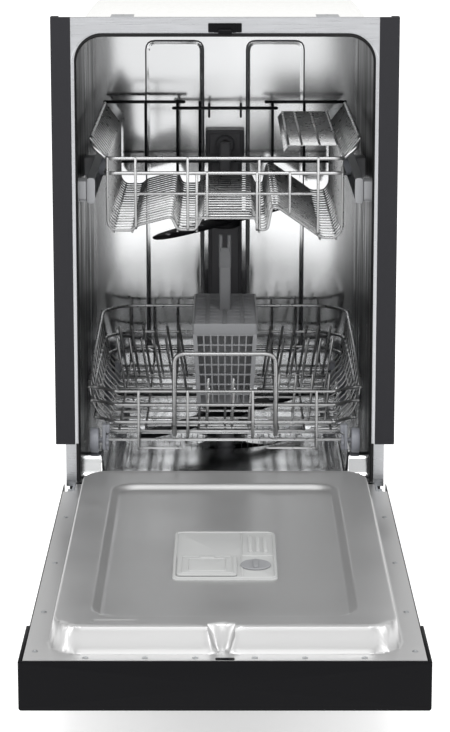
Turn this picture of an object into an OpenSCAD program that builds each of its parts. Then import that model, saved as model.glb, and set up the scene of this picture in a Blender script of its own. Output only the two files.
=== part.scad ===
// Built-in dishwasher, 450 mm class, door open and both racks home.
// X is the width, +Y runs into the tub, Z is up; "y" below is measured from the front plane.

/* [Cabinet] */
// Half width over the side trims
trim_half = 228.5; // [220:0.5:235]
// Overall height, feet included
height = 820; // [810:1:870]
// Half width of the tub inside
tub_half = 201; // [195:0.5:205]
// Tub ceiling height
tub_top = 799; // [780:1:805]
// Depth of the tub from the front plane
tub_depth = 490; // [450:1:520]
// Depth of the base behind the front plane
rear_depth = 543; // [520:1:560]
// Height of the tub floor sheet
floor_z = 186; // [180:1:200]
// Height of the wheel tracks on the tub floor and on the door
track_z = 217; // [205:1:225]
// Radius of the tub's upper corners
corner_r = 40; // [20:1:60]

/* [Door] */
// Reach of the open door in front of the front plane
door_reach = 652; // [600:1:700]
// Half width of the liner flange
liner_half = 217; // [210:0.5:220]
// Half width of the console and outer panel
console_half = 222; // [218:0.5:226]
// Underside of the open door
door_low = 134; // [120:1:150]
// Liner flange height of the open door
door_high = 188; // [180:1:200]
// Start of the console along the door
console_start = 543; // [500:1:600]
// Hinge pin position behind the front plane and its height
pivot = [-16.5, 174.5];

/* [Racks] */
// Wire size of the racks
wire = 4; // [3:0.5:6]
// Height of the lower rack's bottom wires
low_z = 242; // [238:1:250]
// Height of the upper rack's bottom wires
up_z = 524; // [500:1:560]
// Wheel radius of the lower rack
wheel_r = 17.5; // [14:0.5:20]
// Roller radius of the upper rack
roller_r = 12.5; // [8:0.5:15]
// Height of the upper rack's roller axles
roller_z = 585; // [560:1:620]
// Half width over the lower rack's rim
low_half = 189; // [180:0.5:192]

/* [Wash system] */
// Centre of both spray arms behind the front plane
arm_y = 225; // [200:1:260]
// Length of a spray arm blade from its hub
arm_r = 180; // [150:1:185]
// Centre of the twist filter behind the front plane
filter_y = 345; // [320:1:380]

/* [Hidden] */
$fn = 48;
front_y = (door_reach - rear_depth) / 2;
black = [0.12, 0.12, 0.13];
dark = [0.27, 0.27, 0.28];
steel = [0.78, 0.79, 0.80];
zinc = [0.66, 0.67, 0.68];
grey = [0.52, 0.53, 0.55];
wheel_x = 173;
wheel_y = [50, 405];
rack_front = 42;
rack_rear = 462;
basket_rim = 362;
up_front = 42;
up_rear = 442;
disp_half = 61;
disp_y = [-457, -285];

module at_front() translate([0, front_y, 0]) children();
module both() { children(); mirror([1, 0, 0]) children(); }
// A profile drawn in X and Z, carried from y0 to y1.
module along_y(y0, y1) translate([0, y1, 0]) rotate([90, 0, 0]) linear_extrude(y1 - y0) children();
// A profile drawn in Y and Z, carried from x0 to x1.
module along_x(x0, x1) translate([x0, 0, 0]) rotate([90, 0, 90]) linear_extrude(x1 - x0) children();
module box(a, b) translate(a) cube(b - a);

function arc(c, r, a0, a1, n) = [for (i = [0:n]) let(a = a0 + (a1 - a0) * i / n) c + r * [cos(a), sin(a)]];
// An opening with straight sides and two rounded upper corners.
function arch(w, z0, z1, r) = concat([[-w, z0]], arc([-w + r, z1 - r], r, 180, 90, 8),
    arc([w - r, z1 - r], r, 90, 0, 8), [[w, z0]]);
function rounded(x0, z0, x1, z1, r) = concat(arc([x1 - r, z1 - r], r, 0, 90, 4),
    arc([x0 + r, z1 - r], r, 90, 180, 4), arc([x0 + r, z0 + r], r, 180, 270, 4),
    arc([x1 - r, z0 + r], r, 270, 360, 4));
function unit(v) = v / norm(v);
function left(v) = [-v[1], v[0]];
// The mitred side step of a bent wire at its point i.
function step(p, i) = let(n = len(p) - 1, a = unit(p[i > 0 ? i : 1] - p[i > 0 ? i - 1 : 0]),
    b = unit(p[i < n ? i + 1 : n] - p[i < n ? i : n - 1]), m = unit(left(a) + left(b)))
    m / (m * left(a));
function band(p, w) = concat([for (i = [0:len(p) - 1]) p[i] + step(p, i) * w / 2],
    [for (i = [len(p) - 1:-1:0]) p[i] - step(p, i) * w / 2]);
module wire_x(p, y, w) along_y(y - w / 2, y + w / 2) polygon(band(p, w));
module wire_y(p, x, w) along_x(x - w / 2, x + w / 2) polygon(band(p, w));
module wire_flat(p, z, w) translate([0, 0, z - w / 2]) linear_extrude(w) polygon(band(p, w));

module tub_wrapper() color(steel) at_front() along_y(2, tub_depth) difference() {
    polygon(arch(tub_half + 1.2, floor_z - 6, tub_top + 1.2, corner_r + 1.2));
    polygon(arch(tub_half, floor_z - 7, tub_top, corner_r));
}

module tub_back() color(steel) at_front() {
    along_y(tub_depth, tub_depth + 1.5)
        polygon(arch(tub_half + 1.2, floor_z - 6, tub_top + 1.2, corner_r + 1.2));
    for (s = [-1, 1]) translate([s * 77, 0, 0]) along_y(tub_depth - 5, tub_depth + 0.5) difference() {
        polygon(rounded(-45, 256, 45, 742, 16));
        polygon(rounded(-39, 262, 39, 736, 11));
    }
}

module tub_floor() color(steel) at_front() {
    difference() {
        box([-tub_half + 0.2, 3, floor_z - 2], [tub_half - 0.2, tub_depth - 1, floor_z]);
        translate([0, arm_y, floor_z - 3]) cylinder(h = 4, r = 20);
        translate([0, filter_y, floor_z - 3]) cylinder(h = 4, r = 44);
    }
    both() along_y(30, tub_depth - 1) difference() {
        track_shape(0);
        track_shape(2);
    }
    box([-tub_half + 0.2, 3, floor_z - 1], [tub_half - 0.2, 6, floor_z + 2]);
}

// Section of a wheel track along one side of the tub floor; t is the step in from its faces.
module track_shape(t) polygon([[164 + t, floor_z - 2 - t / 2], [168 + t, track_z - t],
    [tub_half - 0.2 - t, track_z - t], [tub_half - 0.2 - t, floor_z - 2 - t / 2]]);

module front_frame() color(steel) at_front() {
    along_y(0, 2) difference() {
        polygon([[-215, 184], [-215, 243], [-227, 243], [-227, 819],
            [227, 819], [227, 243], [215, 243], [215, 184]]);
        polygon(arch(tub_half, 183, tub_top, corner_r));
    }
    box([-227, 1, 817.8], [227, 14, 819]);
}

module door_gasket() color(black) at_front() along_y(-1, 13) difference() {
    polygon(arch(tub_half - 0.3, 190, tub_top - 0.3, corner_r - 0.3));
    polygon(arch(tub_half - 5.5, 189, tub_top - 5.5, corner_r - 5.5));
}

module side_trims() color(dark) at_front() both() translate([0, 0, 243]) linear_extrude(height - 243)
    polygon([[202.5, -2], [trim_half, -2], [trim_half, 16], [trim_half - 10, 16], [trim_half - 10, 14.5],
        [trim_half - 1.4, 14.5], [trim_half - 1.4, 0], [202.5, 0]]);

module insulation_wrap() color([0.16, 0.16, 0.17]) at_front() difference() {
    along_y(20, tub_depth + 13) polygon(arch(214, 190, 812, 52));
    along_y(19, tub_depth + 3) polygon(arch(203, 189, 801, 41));
}

module base_tray() color(black) at_front() difference() {
    box([-215, 60, 26], [215, rear_depth, 178]);
    box([-212, 63, 30], [212, rear_depth - 3, 190]);
}

module toe_kick() color(black) at_front() difference() {
    box([-214, 48, 14], [214, 60, 100]);
    box([-212, 50, 13], [212, 61, 98]);
    both() translate([190, 47, 40]) rotate([-90, 0, 0]) cylinder(h = 4, r = 2.5);
}

module access_panel() color(black) at_front() difference() {
    box([-214, 40, 101], [214, 60, 128]);
    box([-212, 42, 100], [212, 61, 126]);
    both() translate([190, 39, 114]) rotate([-90, 0, 0]) cylinder(h = 4, r = 2.5);
}

module kick_screws() color(zinc) at_front() both() for (p = [[47.9, 40], [39.9, 114]])
    translate([190, p[0], p[1]]) rotate([90, 0, 0]) {
        cylinder(h = 2, r = 4.5);
        translate([0, 0, -8]) cylinder(h = 8.5, r = 2.3);
    }

module leveling_feet() color(grey) at_front() both() for (y = [90, 510]) translate([190, y, 0]) {
    cylinder(h = 7, r = 18);
    cylinder(h = 26, r = 6);
    translate([0, 0, 18]) cylinder(h = 5, r = 10.5, $fn = 6);
}

module hinge_brackets() color(zinc) at_front() both() {
    difference() {
        along_x(203.5, 206.5) {
            translate(pivot) circle(r = 9.5);
            polygon([[-18, 168], [-14, 184], [60, 184], [60, 132], [30, 132], [6, 165]]);
        }
        for (z = [146, 170]) translate([203, 48, z]) rotate([0, 90, 0]) cylinder(h = 4, r = 3);
    }
    translate([206, pivot[0], pivot[1]]) rotate([0, 90, 0]) cylinder(h = 8, r = 4);
}

module wash_duct() color(dark) at_front() difference() {
    box([-26, 470, 190], [26, tub_depth - 0.1, 564.5]);
    box([-23, 473, 189], [23, 487, 562]);
}

module duct_dock() color(dark) at_front() difference() {
    union() {
        box([-29.5, 464, 565], [29.5, tub_depth - 0.1, 606]);
        translate([0, 452, roller_z]) rotate([-90, 0, 0]) cylinder(h = 14, r = 15);
    }
    translate([0, 451, roller_z]) rotate([-90, 0, 0]) cylinder(h = 26, r = 9);
}

module filter_plate() color(steel) at_front() difference() {
    translate([0, 0, floor_z + 0.2]) linear_extrude(1) polygon(rounded(-118, 150, 118, 400, 40));
    translate([0, arm_y, floor_z]) cylinder(h = 4, r = 21);
    translate([0, filter_y, floor_z]) cylinder(h = 4, r = 40);
}

module sump() color(dark) at_front() difference() {
    translate([0, 0, 112]) linear_extrude(71.8) polygon(rounded(-70, 195, 70, 402, 34));
    translate([0, 0, 116]) linear_extrude(80) polygon(rounded(-66, 199, 66, 398, 30));
}

module wash_pump() color(dark) at_front() {
    translate([-190, 300, 71]) rotate([0, 90, 0]) cylinder(h = 96, r = 34);
    translate([-94.5, 300, 71]) rotate([0, 90, 0]) cylinder(h = 36, r = 40);
    translate([-58.7, 300, 71]) rotate([0, 90, 0]) cylinder(h = 40, r = 18);
    translate([-38, 300, 71]) cylinder(h = 40.8, r = 15);
}

module drain_pump() color(dark) at_front() {
    translate([84, 250, 78]) rotate([0, 90, 0]) cylinder(h = 70, r = 24);
    translate([60, 250, 78]) rotate([0, 90, 0]) cylinder(h = 24.5, r = 30);
    box([150, 236, 30], [160, 264, 60]);
}

module inlet_valve() color(grey) at_front() {
    box([-165, tub_depth + 13.2, 195], [-125, 526, 238]);
    translate([-145, 525, 216]) rotate([-90, 0, 0]) cylinder(h = 17, r = 13);
}

module drain_outlet() color(grey) at_front() {
    box([125, tub_depth + 13.2, 195], [165, 518, 230]);
    translate([145, 517, 212]) rotate([-90, 0, 0]) cylinder(h = 25, r = 11);
}

module junction_box() color(zinc) at_front() difference() {
    box([120, 66, 31], [190, 126, 86]);
    box([122, 68, 33], [188, 124, 84]);
    translate([155, 127, 58]) rotate([90, 0, 0]) cylinder(h = 4, r = 11);
}

module counter_brackets() color(zinc) at_front() both() difference() {
    box([120, 2, 819], [150, 42, 820]);
    translate([135, 32, 818]) cylinder(h = 3, r = 2.5);
}

module door_striker() color(black) at_front() {
    box([-24, -1.5, 799.5], [24, 0, 812]);
    box([-9, -20, 799.5], [9, -1.4, 804.5]);
}

module rail_guides() color(grey) at_front() both() for (y = [30, 240])
    box([186, y, 572], [tub_half - 0.1, y + 30, 598]);

module arm_stem() color(dark) at_front() translate([0, arm_y, 0]) {
    translate([0, 0, 184.2]) cylinder(h = 30, r = 16);
    translate([0, 0, 184.2]) cylinder(h = 42, r = 6);
}

module door_outer_panel() color(black) at_front() difference() {
    box([-console_half, -console_start, door_low], [console_half, 0, door_high - 2]);
    box([-console_half + 1.2, -console_start - 1, door_low + 1.2], [console_half - 1.2, 1, door_high]);
}

// The plateau's slanted block; t is the step in from the outer faces.
module plateau(t) intersection() {
    translate([0, 0, door_high - 3]) linear_extrude(40) mirror([0, 1])
        polygon(rounded(-194 + t, 32 - t, 194 - t, 631 - t, 44));
    along_y(-632, -30) polygon([[-194 + t, door_high - 2], [-189.5 + t, track_z - t],
        [189.5 - t, track_z - t], [194 - t, door_high - 2]]);
    along_x(-200, 200) polygon([[-631 + t, door_high - 2], [-626 + t, track_z - t],
        [-40 - t, track_z - t], [-32 - t, door_high - 2]]);
}

module door_liner() color(steel) at_front() {
    difference() {
        union() {
            box([-202, -649, door_high - 1], [202, -4, door_high]);
            box([-liner_half, -649, door_high - 1], [liner_half, -38, door_high]);
            intersection() { plateau(0); box([-200, -640, door_high - 1], [200, 0, 230]); }
        }
        plateau(1.2);
        box([-150, -592, track_z - 3], [150, -96, track_z + 2]);
        box([-12, -648.5, door_high - 2], [12, -640.5, door_high + 1]);
    }
    difference() {
        box([-151, -593, track_z - 8], [151, -95, track_z - 0.2]);
        box([-150, -592, track_z - 7], [150, -96, track_z + 2]);
        box([-disp_half + 3, disp_y[0] + 3, track_z - 9], [disp_half - 3, disp_y[1] - 3, track_z]);
    }
    box([-200, -5, 160], [200, -4, door_high - 0.5]);
}

module door_insulation() color([0.75, 0.74, 0.7]) at_front() difference() {
    box([-198, -540, door_low + 2], [198, -6, door_high - 3]);
    box([-disp_half - 6, disp_y[0] - 6, 160], [disp_half + 6, disp_y[1] + 6, 190]);
}

module control_console() color(black) at_front() difference() {
    box([-console_half, -door_reach, door_low], [console_half, -console_start - 0.3, door_high]);
    box([-console_half + 3, -door_reach + 3, door_low + 3],
        [console_half - 3, -console_start + 1, door_high - 1.2]);
    box([-liner_half - 0.3, -649.2, door_high - 1.4], [liner_half + 0.3, -console_start + 1, door_high + 1]);
    for (x = [-150, -60, -20, 20, 60]) translate([x, -590, door_low - 1]) cylinder(h = 5, r = 8);
    box([-55, -640, door_low - 1], [55, -618, door_low + 5]);
}

module door_latch() color(grey) at_front() difference() {
    box([-20, -648.8, door_low + 3.2], [20, -616, door_high - 1.4]);
    box([-56, -660, door_low + 2], [56, -628, door_low + 16]);
    box([-12, -648.5, 166], [12, -640.5, door_high + 1]);
}

module dispenser_body() color(grey) at_front() difference() {
    union() {
        box([-disp_half, disp_y[0], track_z - 6.8], [disp_half, disp_y[1], track_z - 4.8]);
        box([-disp_half + 4, disp_y[0] + 4, 168], [disp_half - 4, disp_y[1] - 4, track_z - 6]);
    }
    box([-52, -444, 178], [10, -386, track_z]);
    translate([36, -410, 172]) cylinder(h = 60, r = 13);
}

module hinge_arms() color(zinc) at_front() both() difference() {
    along_x(207, 212) {
        translate(pivot) circle(r = 10);
        polygon([[-160, 165.5], [-160, 184], [-17, 184], [-17, 165.5]]);
    }
    translate([206, pivot[0], pivot[1]]) rotate([0, 90, 0]) cylinder(h = 7, r = 4.06);
}

module liner_screws() color(zinc) at_front() both() {
    for (y = [-150, -330, -500, -622]) translate([206, y, door_high]) cylinder(h = 0.8, r = 3.4);
    for (x = [32, 86, 150]) translate([x, -641, door_high]) cylinder(h = 0.8, r = 3.4);
}

module detergent_lid() color(grey) at_front() difference() {
    box([-56, -450, track_z - 4.5], [14, -380, track_z - 1]);
    box([-46, -440, track_z - 2], [4, -390, track_z]);
}

module rinse_cap() color(grey) at_front() translate([36, -410, 0]) {
    translate([0, 0, 190]) cylinder(h = 24, r = 12.6);
    translate([0, 0, track_z - 4.5]) cylinder(h = 1.8, r = 18);
    box([-14, -2, track_z - 3], [14, 2, track_z - 1]);
}

module button(x) color(dark) at_front() translate([x, -590, door_low - 2.5]) {
    cylinder(h = 6, r = 7.6);
    translate([0, 0, 5.9]) cylinder(h = 3.5, r = 9.4);
}
module power_button() button(-150);
module program_button() button(-60);
module option_button() button(-20);
module delay_button() button(20);
module start_button() button(60);

module lower_rack_frame() color(steel) at_front() {
    for (y = [76:58:440]) wire_x([[-low_half + 2, 330], [-low_half + 8, 292], [-162, 264], [-158, low_z],
        [158, low_z], [162, 264], [low_half - 8, 292], [low_half - 2, 330]], y, wire);
    for (x = [-140:35:140]) wire_y([[rack_front, 306], [rack_front + 2, 262], [rack_front + 8, low_z + 2],
        [rack_rear - 16, low_z + 2], [rack_rear - 4, 270], [rack_rear, 330]], x, wire);
    for (z = [304, 284, 262]) wire_flat([[-165, rack_front + 60], [-165, rack_front + 12],
        [-150, rack_front + 1], [150, rack_front + 1], [165, rack_front + 12],
        [165, rack_front + 60]], z, wire);
    wire_flat([[-165, rack_front + 59], [-low_half + 2, rack_front + 70], [-low_half + 2, rack_rear - 24],
        [-164, rack_rear], [164, rack_rear], [low_half - 2, rack_rear - 24], [low_half - 2, rack_front + 70],
        [165, rack_front + 59]], 328, wire + 1);
    both() box([-167, rack_front + 57, 260], [-163, rack_front + 61, 330]);
}

module tine_row(x0, x1, n) {
    box([x0 - 2, -2, 0], [x1 + 2, 2, 3]);
    for (i = [0:n - 1]) translate([x0 + (x1 - x0) * i / (n - 1) - 1.6, -1.6, 0]) cube([3.2, 3.2, 84]);
}

module lower_rack_tines() color(steel) at_front() for (y = [285, 366]) translate([0, y, low_z + 4.2]) {
    tine_row(-150, -60, 6);
    if (y == 366) tine_row(60, 150, 6);
}

module folding_tines() color(steel) at_front() translate([0, 285, low_z + 7.5]) {
    translate([58, 0, 0]) rotate([0, 90, 0]) cylinder(h = 94, r = 1.8);
    for (x = [60:18:150]) translate([x - 1.6, -1.6, 0]) cube([3.2, 3.2, 82]);
}

module lower_rack_handle() color(steel) at_front() wire_x([[-69, 250], [-69, 350], [-59, 360], [59, 360],
    [69, 350], [69, 250]], rack_front - 5.2, 6);

module wheel_brackets() color(grey) at_front() both() for (y = wheel_y) difference() {
    union() {
        box([163.5, y - 9, 222], [168, y + 9, 258]);
        translate([167, y, track_z + wheel_r]) rotate([0, 90, 0]) cylinder(h = 15, r = 3.5);
    }
    box([160, y - 30, low_z - 2.5], [164, y + 30, low_z + 2.5]);
}

module wheels(y) color(grey) at_front() both() translate([wheel_x, y, track_z + wheel_r]) rotate([0, 90, 0])
    difference() {
        cylinder(h = 12, r = wheel_r - 0.2);
        translate([0, 0, -1]) cylinder(h = 10.6, r = 3.8);
        for (a = [0:60:300]) rotate([0, 0, a]) translate([10.5, 0, 7]) cylinder(h = 6, r = 2.6);
    }
module front_wheels() wheels(wheel_y[0]);
module rear_wheels() wheels(wheel_y[1]);

// Two open cells with plain walls, 2 mm thick.
module cutlery_basket() color(grey) at_front() translate([0, 290, 0]) difference() {
    box([-46.5, -103, low_z + 5], [46.5, 103, basket_rim]);
    for (y = [-101, 1]) box([-44.5, y, low_z + 7.5], [44.5, y + 100, basket_rim + 1]);
}
// The comb that keeps cutlery apart, with the forked handle that stands on it.
module basket_lid() color(grey) at_front() translate([0, 290, 0]) difference() {
    union() {
        box([-46.5, -103, basket_rim], [46.5, 103, basket_rim + 5]);
        box([-9, -4, basket_rim + 5], [9, 4, 477]);
    }
    for (y = [-96:24:90], x = [-42, 6]) if (abs(y + 6) > 14) box([x, y, 355], [x + 36, y + 12, 370]);
    box([-3, -5, 452], [3, 5, 478]);
    for (x = [-10, 7]) box([x, -5, 380], [x + 3, 5, 420]);
}

module upper_rack_frame() color(steel) at_front() {
    for (y = [56:64:400]) wire_x([[-181, 652], [-163, 628], [-160, 606], [-158, 532], [-150, up_z],
        [-102, up_z], [-58, 552], [58, 552], [102, up_z], [150, up_z], [158, 532], [160, 606],
        [163, 628], [181, 652]], y, wire);
    for (x = [-126, 126]) wire_y([[up_front + 2, 607], [up_front + 2, 540], [up_front + 12, up_z + 2],
        [up_rear - 6, up_z + 2]], x, wire);
    for (x = [-42, 42]) wire_y([[up_front + 2, 607], [up_front + 6, 554], [up_rear - 6, 554]], x, wire);
    for (z = [627, 607]) wire_flat([[-160, up_rear - 8], [-160, up_front + 12], [-150, up_front],
        [150, up_front], [160, up_front + 12], [160, up_rear - 8]], z, wire + 0.6);
    wire_flat([[-132, up_front + 1], [132, up_front + 1]], 579, wire);
    both() wire_flat([[181, up_front + 12], [181, up_rear - 6]], 652, wire);
}

module upper_rack_rear() color(black) at_front() {
    wire_flat([[-183, up_rear], [-62, up_rear]], 652, wire);
    wire_flat([[-78, up_rear - 4], [78, up_rear - 4]], 643, wire);
    wire_flat([[62, up_rear], [183, up_rear]], 652, wire);
    for (x = [-120, -70, 70, 120]) wire_y([[up_rear - 2, 653], [up_rear - 2, 560]], x, wire);
    wire_flat([[-160, up_rear - 3], [160, up_rear - 3]], 562, wire);
}

module feed_pipe() color(dark) at_front() {
    difference() {
        translate([0, 428, roller_z]) rotate([-90, 0, 0]) cylinder(h = 23, r = 8.4);
        translate([0, 440, roller_z]) rotate([-90, 0, 0]) cylinder(h = 12, r = 6);
    }
    box([-9, 414, 524], [9, 428.5, 594]);
    box([-9, arm_y - 12, 524], [9, 414.5, 540]);
    translate([0, arm_y, 503]) cylinder(h = 22, r = 6);
}

module rollers(y) color(grey) at_front() both() translate([164, y, roller_z]) rotate([0, 90, 0])
    difference() {
        cylinder(h = 16, r = roller_r);
        translate([0, 0, 12]) cylinder(h = 5, r = 8);
    }
module front_rollers() rollers(240);
module rear_rollers() rollers(400);

module upper_rails() color(zinc) at_front() both() {
    along_y(38, 468) polygon([[175, 570], [185.4, 570], [185.4, 600], [175, 600],
        [175, 598], [183.4, 598], [183.4, 572], [175, 572]]);
    box([174, 31, 567], [185.4, 38.2, 602]);
}

module cup_shelf() color(steel) at_front() {
    translate([152, 70, 641.2]) rotate([-90, 0, 0]) cylinder(h = 350, r = 1.4);
    for (x = [130, 108, 86]) box([x - 1.2, 70, 640], [x + 1.2, 420, 642.4]);
    for (y = [71:18:418]) box([84.8, y, 638.4], [153.2, y + 2.2, 640.8]);
}

module blade(r, w) polygon(concat(arc([r - w * 0.28, 0], w * 0.28, -80, 80, 6),
    [[0, w * 0.5]], arc([-r + w * 0.28, 0], w * 0.28, 100, 260, 6), [[0, -w * 0.5]]));

module lower_spray_arm() color(dark) at_front() translate([0, arm_y, 0]) rotate([0, 0, 47]) difference() {
    union() {
        translate([0, 0, 220.5]) linear_extrude(9) blade(arm_r, 44);
        translate([0, 0, 215]) cylinder(h = 17, r = 25);
    }
    translate([0, 0, 214]) cylinder(h = 13, r = 6.4);
    for (x = [-160:40:160]) if (abs(x) > 30) translate([x, 0, 226]) cylinder(h = 8, r = 2.2);
}

module upper_spray_arm() color(dark) at_front() translate([0, arm_y, 0]) rotate([0, 0, 56]) difference() {
    union() {
        translate([0, 0, 506]) linear_extrude(8) blade(arm_r - 5, 40);
        translate([0, 0, 501]) cylinder(h = 21, r = 22);
    }
    translate([0, 0, 502.5]) cylinder(h = 20, r = 6.4);
    for (x = [-160:40:160]) if (abs(x) > 30) translate([x, 0, 510]) cylinder(h = 8, r = 2.2);
}

module filter_cup() color(dark) at_front() translate([0, filter_y, 0]) {
    difference() {
        translate([0, 0, floor_z + 1.5]) cylinder(h = 3, r = 43);
        translate([0, 0, floor_z + 1]) cylinder(h = 5, r = 30);
    }
    difference() {
        translate([0, 0, 130]) cylinder(h = floor_z - 128, r = 33);
        translate([0, 0, 133]) cylinder(h = 80, r = 30);
    }
    box([-30.5, -2, 178], [30.5, 2, 198]);
}

tub_wrapper();
tub_back();
tub_floor();
front_frame();
door_gasket();
side_trims();
insulation_wrap();
base_tray();
toe_kick();
access_panel();
kick_screws();
leveling_feet();
hinge_brackets();
wash_duct();
duct_dock();
filter_plate();
sump();
wash_pump();
drain_pump();
inlet_valve();
drain_outlet();
junction_box();
counter_brackets();
door_striker();
rail_guides();
arm_stem();
door_outer_panel();
door_liner();
door_insulation();
control_console();
door_latch();
dispenser_body();
hinge_arms();
liner_screws();
detergent_lid();
rinse_cap();
power_button();
program_button();
option_button();
delay_button();
start_button();
lower_rack_frame();
lower_rack_tines();
lower_rack_handle();
wheel_brackets();
folding_tines();
front_wheels();
rear_wheels();
cutlery_basket();
basket_lid();
upper_rack_frame();
upper_rack_rear();
feed_pipe();
front_rollers();
rear_rollers();
upper_rails();
cup_shelf();
upper_spray_arm();
lower_spray_arm();
filter_cup();
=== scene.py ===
# %% [markdown]
# A built-in dishwasher, one piece at a time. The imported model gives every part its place; this lesson
# gives the visible parts their true surfaces. Lengths below are in millimetres, measured from the front
# plane of the cabinet: x across, y into the tub, z up from the floor.

# %% Load the frame
import bpy, bmesh, math
import numpy as np
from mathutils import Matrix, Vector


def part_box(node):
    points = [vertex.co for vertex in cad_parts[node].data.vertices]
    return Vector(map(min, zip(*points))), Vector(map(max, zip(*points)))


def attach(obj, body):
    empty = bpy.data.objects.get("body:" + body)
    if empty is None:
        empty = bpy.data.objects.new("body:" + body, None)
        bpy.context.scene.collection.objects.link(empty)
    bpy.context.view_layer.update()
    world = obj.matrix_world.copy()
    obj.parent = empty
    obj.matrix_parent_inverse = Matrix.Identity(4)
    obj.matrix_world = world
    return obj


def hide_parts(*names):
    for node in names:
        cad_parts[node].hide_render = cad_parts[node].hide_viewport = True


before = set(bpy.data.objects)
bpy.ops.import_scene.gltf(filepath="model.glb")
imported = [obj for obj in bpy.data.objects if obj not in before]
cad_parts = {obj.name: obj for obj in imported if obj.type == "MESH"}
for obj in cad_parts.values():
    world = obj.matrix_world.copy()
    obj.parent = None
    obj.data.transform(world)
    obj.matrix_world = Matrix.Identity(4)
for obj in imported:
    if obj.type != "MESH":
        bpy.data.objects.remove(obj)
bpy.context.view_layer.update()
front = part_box("front_frame")[0][1]

# %% [markdown]
# The camera stands almost three metres in front and just above the counter line, looking down a little,
# with a long lens, so that the side walls stay nearly parallel. Distance and height are in metres, the
# downward tilt in degrees.

# %% Camera
camera = bpy.data.objects.new("camera", bpy.data.cameras.new("camera"))
bpy.context.scene.collection.objects.link(camera)
eye_distance, eye_height, look_down = 2.919, 1.075, 10.36
camera.location = (0.0, front - eye_distance, eye_height)
camera.rotation_euler = (math.radians(90 - look_down), 0, 0)
camera.data.lens = 109.9
camera.data.sensor_width = 36
camera.data.shift_y = -0.19
bpy.context.scene.camera = camera
print("camera", tuple(camera.location))

# %% [markdown]
# Polished steel has no look of its own: it shows the room. So the studio matters: a pale room, one wide
# soft lamp over the front, a tall one on each side, and a small one that reaches the back of the tub.

# %% Studio light
def lamp(name, place, aim, width, height, watts):
    """A rectangle of light at place, turned to face aim; all in metres."""
    light = bpy.data.lights.new(name, "AREA")
    light.shape, light.size, light.size_y, light.energy = "RECTANGLE", width, height, watts
    lamp_object = bpy.data.objects.new(name, light)
    lamp_object.location = place
    back = np.array(place) - np.array(aim)
    tilt = math.atan2(math.hypot(back[0], back[1]), back[2])
    lamp_object.rotation_euler = (tilt, 0, math.atan2(back[0], -back[1]))
    bpy.context.scene.collection.objects.link(lamp_object)

rack_height = (0, 0, 0.4)
lamp("overhead", (0, -1.6, 2.6), rack_height, 1.8, 1.2, 30)
lamp("left", (-2.2, -1.8, 1.3), rack_height, 0.8, 1.6, 16)
lamp("right", (2.2, -1.8, 1.3), rack_height, 0.8, 1.6, 16)
lamp("front", (0, -3.2, 1.5), (0, 0.3, 0.5), 1.4, 0.9, 9)
world = bpy.data.worlds.new("studio")
bpy.context.scene.world = world
world.use_nodes = True
room = world.node_tree.nodes["Background"].inputs
room["Color"].default_value = (1, 1, 1, 1)
room["Strength"].default_value = 0.85
bpy.context.scene.view_settings.view_transform = "Standard"

# %% [markdown]
# Colours are written as sRGB hex, the way a paint card gives them, and turned to the linear values
# that the renderer adds and multiplies.

# %% Colours and nodes
def linear(code):
    """sRGB hex to linear: below 0.04045 a straight line, above it a power of 2.4."""
    c = np.array([int(code[i:i + 2], 16) for i in (1, 3, 5)]) / 255
    return (*np.where(c <= 0.04045, c / 12.92, ((c + 0.055) / 1.055) ** 2.4), 1.0)

def add(tree, kind, sockets={}, **settings):
    """Adds one node; a socket given as an input is linked, any other value is set."""
    node = tree.nodes.new(kind)
    for key, value in settings.items():
        setattr(node, key, value)
    for key, value in sockets.items():
        if isinstance(value, bpy.types.NodeSocket):
            tree.links.new(value, node.inputs[key])
        else:
            node.inputs[key].default_value = value
    return node

def finish(name, light, dark, metallic, smooth, rough, grain, depth, stretch=(1, 1, 1), detail=3.0,
           shine=0.5):
    """One material: noise of the given grain (mm) mixes two close colours, moves the roughness between
    smooth and rough, and raises a bump of the given depth (mm). stretch scales the noise along each axis,
    detail adds finer noise to it, and shine is how much the surface mirrors straight on."""
    material = bpy.data.materials.new(name)
    material.use_nodes = True
    tree = material.node_tree
    shader = tree.nodes["Principled BSDF"]
    place = add(tree, "ShaderNodeMapping", {"Vector": add(tree, "ShaderNodeTexCoord").outputs["Object"],
                                           "Scale": stretch})
    noise = add(tree, "ShaderNodeTexNoise", {"Vector": place.outputs[0], "Scale": 1000 / grain,
                                           "Detail": detail})
    spots = noise.outputs["Fac"]
    ramp = add(tree, "ShaderNodeMapRange", {"Value": spots, "From Min": 0.3, "From Max": 0.7,
                                          "To Min": smooth, "To Max": rough})
    blend = add(tree, "ShaderNodeMix", data_type="RGBA")
    tree.links.new(spots, blend.inputs["Factor"])
    colour_a, colour_b, colour_out = blend.inputs[6], blend.inputs[7], blend.outputs[2]
    colour_a.default_value = linear(dark)
    colour_b.default_value = linear(light)
    bump = add(tree, "ShaderNodeBump", {"Height": spots, "Distance": depth / 1000, "Strength": 0.6})
    tree.links.new(colour_out, shader.inputs["Base Color"])
    tree.links.new(ramp.outputs[0], shader.inputs["Roughness"])
    tree.links.new(bump.outputs[0], shader.inputs["Normal"])
    shader.inputs["Metallic"].default_value = metallic
    shader.inputs["Specular IOR Level"].default_value = shine
    material.diffuse_color = linear(light)
    return material
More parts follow.
